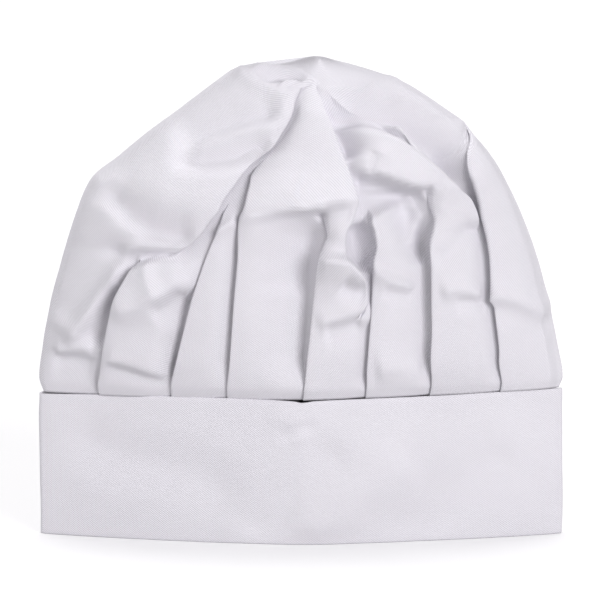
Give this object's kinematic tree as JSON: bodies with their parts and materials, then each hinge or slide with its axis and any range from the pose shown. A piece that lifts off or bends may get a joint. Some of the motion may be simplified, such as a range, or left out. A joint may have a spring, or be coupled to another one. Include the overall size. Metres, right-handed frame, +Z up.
{
  "type": "chef hat",
  "caption": "Tall straight headband with a floppy pleated cloth crown that leans to one side, pressed nearly flat and standing on its band.",
  "frame": {"origin": "centre of the hat's footprint, on the surface that the band stands on", "axes": "+Z up, -Y towards the front, +X towards the wearer's left, which is the picture's right"},
  "size_m": [0.2925, 0.1173, 0.268],
  "materials": {
    "band_cloth": "matte white twill, doubled",
    "crown_cloth": "matte white twill"
  },
  "bodies": {
    "root": {"band": "band_cloth", "crown": "crown_cloth"}
  },
  "joints": []
}
